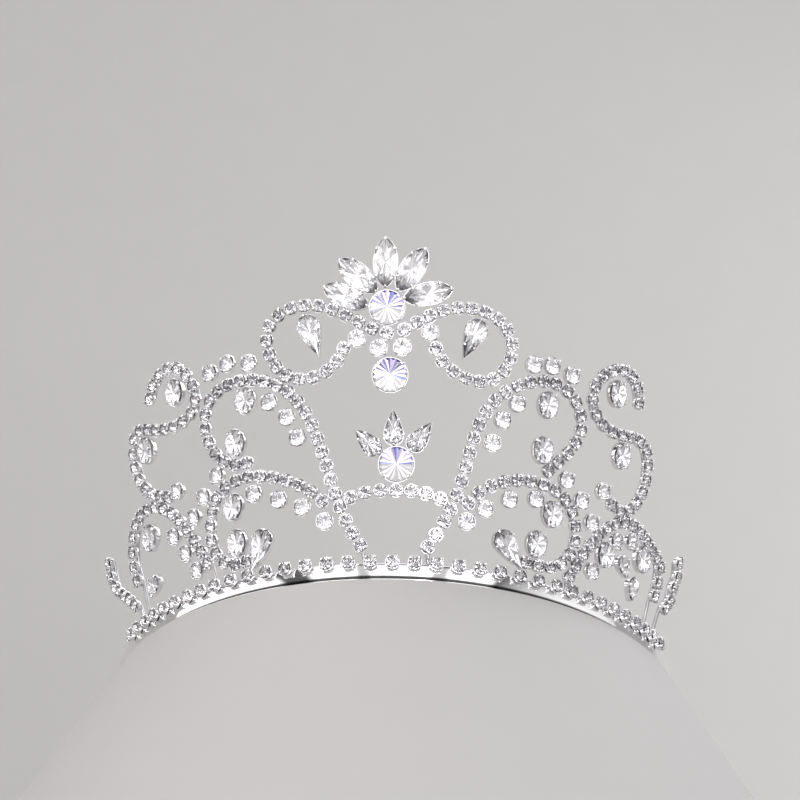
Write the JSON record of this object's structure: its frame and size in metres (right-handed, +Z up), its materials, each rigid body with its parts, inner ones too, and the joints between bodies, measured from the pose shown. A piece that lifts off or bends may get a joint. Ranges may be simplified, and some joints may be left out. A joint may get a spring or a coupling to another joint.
{
  "type": "bridal tiara",
  "caption": "Openwork crystal tiara: cup-chain scrolls, pears, navettes and large round stones on a polished U-shaped band.",
  "frame": {"origin": "middle of the band's lower edge at the forehead, which is the band_lower_edge mount", "axes": "+Z up the tiara from the band to the crest, -Y the wearer's forehead (front), +X to the viewer's right"},
  "size_m": [0.1521, 0.1251, 0.0827],
  "materials": {
    "crystal": "clear faceted crystal, foil backed",
    "crystal_ab": "clear faceted crystal with an iridescent coating",
    "polished_band": "mirror-polished rhodium-tone plate",
    "silver_plate": "bright silver-tone plate",
    "wire": "bright silver-tone wire"
  },
  "bodies": {
    "root": {"base_row_crystals": "crystal", "base_row_cups": "silver_plate", "centre_arch_crystals": "crystal", "centre_arch_cups": "silver_plate", "centre_arch_wire": "wire", "crest_navette_crystals": "crystal", "crest_navette_settings": "silver_plate", "crown_pear_crystals": "crystal", "crown_pear_settings": "silver_plate", "end_hook_crystals": "crystal", "end_hook_cups": "silver_plate", "end_hook_wires": "wire", "headband": "polished_band", "left_loop_crystals": "crystal", "left_loop_cups": "silver_plate", "left_loop_wire": "wire", "left_lower_arch_crystals": "crystal", "left_lower_arch_cups": "silver_plate", "left_lower_arch_wire": "wire", "left_main_scroll_crystals": "crystal", "left_main_scroll_cups": "silver_plate", "left_main_scroll_wire": "wire", "left_oval_crystals": "crystal", "left_oval_settings": "silver_plate", "left_pear_crystals": "crystal", "left_pear_settings": "silver_plate", "left_rear_arch_crystals": "crystal", "left_rear_arch_cups": "silver_plate", "left_rear_arch_wire": "wire", "left_round_crystals": "crystal", "left_round_settings": "silver_plate", "left_s_scroll_crystals": "crystal", "left_s_scroll_cups": "silver_plate", "left_s_scroll_wire": "wire", "pendant_round_crystals": "crystal", "pendant_round_settings": "silver_plate", "right_loop_crystals": "crystal", "right_loop_cups": "silver_plate", "right_loop_wire": "wire", "right_lower_arch_crystals": "crystal", "right_lower_arch_cups": "silver_plate", "right_lower_arch_wire": "wire", "right_main_scroll_crystals": "crystal", "right_main_scroll_cups": "silver_plate", "right_main_scroll_wire": "wire", "right_oval_crystals": "crystal", "right_oval_settings": "silver_plate", "right_pear_crystals": "crystal", "right_pear_settings": "silver_plate", "right_rear_arch_crystals": "crystal", "right_rear_arch_cups": "silver_plate", "right_rear_arch_wire": "wire", "right_round_crystals": "crystal", "right_round_settings": "silver_plate", "right_s_scroll_crystals": "crystal", "right_s_scroll_cups": "silver_plate", "right_s_scroll_wire": "wire", "rivoli_crystals": "crystal_ab", "rivoli_settings": "silver_plate"}
  },
  "joints": []
}
